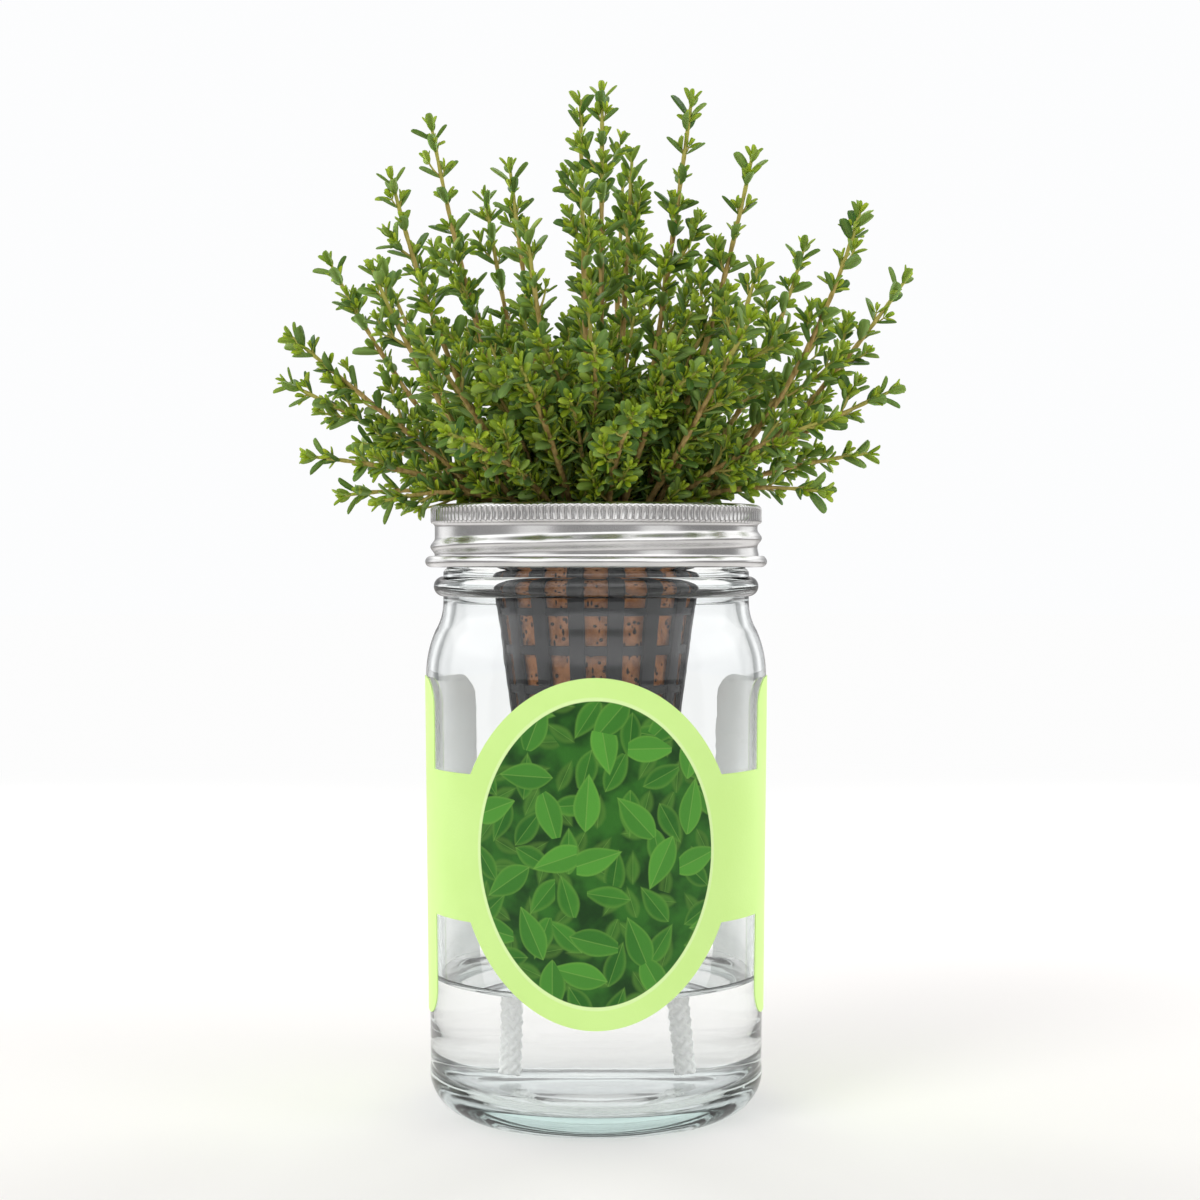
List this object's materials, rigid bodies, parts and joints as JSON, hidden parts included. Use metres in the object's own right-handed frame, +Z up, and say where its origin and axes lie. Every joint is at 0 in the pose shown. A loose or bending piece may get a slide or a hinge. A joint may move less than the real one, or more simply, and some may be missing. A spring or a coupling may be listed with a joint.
{
  "type": "hydroponic jar planter",
  "caption": "Glass jar with a screw band over a net cup: a coir plug holds a leafy herb, and wicks feed it from water below.",
  "frame": {"origin": "centre of the glass ring on which the jar stands, in the plane of the table", "axes": "+Z up along the jar's axis; the front of the label faces -Y; +X is to the right seen from the front"},
  "size_m": [0.1863, 0.1592, 0.2911],
  "materials": {
    "jar_glass": "gloss",
    "water": "gloss",
    "label_paper": "satin",
    "cup_plastic": "satin",
    "band_metal": "satin",
    "plug_coir": "matte",
    "wick_cotton": "matte",
    "stem_bark": "matte",
    "leaf_green": "satin"
  },
  "bodies": {
    "jar": {"glass_jar": "jar_glass", "water": "water", "label": "label_paper"},
    "basket": {"net_cup": "cup_plastic"},
    "band": {"screw_band": "band_metal"},
    "plant": {"grow_plug": "plug_coir", "wick_left": "wick_cotton", "wick_right": "wick_cotton", "stem_01": "stem_bark", "stem_02": "stem_bark", "stem_03": "stem_bark", "stem_04": "stem_bark", "stem_05": "stem_bark", "stem_06": "stem_bark", "stem_07": "stem_bark", "stem_08": "stem_bark", "stem_09": "stem_bark", "stem_10": "stem_bark", "stem_11": "stem_bark", "stem_12": "stem_bark", "stem_13": "stem_bark", "stem_14": "stem_bark", "stem_15": "stem_bark", "stem_16": "stem_bark", "stem_17": "stem_bark", "stem_18": "stem_bark", "stem_19": "stem_bark", "stem_20": "stem_bark", "stem_21": "stem_bark", "stem_22": "stem_bark", "stem_23": "stem_bark", "stem_24": "stem_bark", "stem_25": "stem_bark", "stem_26": "stem_bark", "stem_27": "stem_bark", "stem_28": "stem_bark", "stem_29": "stem_bark", "stem_30": "stem_bark", "stem_31": "stem_bark", "stem_32": "stem_bark", "stem_33": "stem_bark", "stem_34": "stem_bark", "stem_35": "stem_bark", "stem_36": "stem_bark", "stem_37": "stem_bark", "stem_38": "stem_bark", "stem_39": "stem_bark", "stem_40": "stem_bark", "stem_41": "stem_bark", "stem_42": "stem_bark", "stem_43": "stem_bark", "stem_44": "stem_bark", "leaves_right": "leaf_green", "leaves_back_right": "leaf_green", "leaves_back": "leaf_green", "leaves_back_left": "leaf_green", "leaves_left": "leaf_green", "leaves_front_left": "leaf_green", "leaves_front": "leaf_green", "leaves_front_right": "leaf_green"}
  },
  "joints": [
    {"name": "band_rise", "type": "slide", "parent": "jar", "child": "basket", "axis": [0, 0, 1], "range_m": [0, 0.00636]},
    {"name": "band_turn", "type": "hinge", "parent": "basket", "child": "band", "pos_m": [0, 0, 0.1625], "axis": [0, 0, 1], "range_deg": [0, 450]},
    {"name": "plug_lift", "type": "slide", "parent": "basket", "child": "plant", "axis": [0, 0, 1], "range_m": [0, 0.165], "deforming": ["wick_left", "wick_right"]}
  ],
  "couplings": [
    {"joint": "band_rise", "follows": "band_turn", "m_per_rad": 0.00080851}
  ]
}
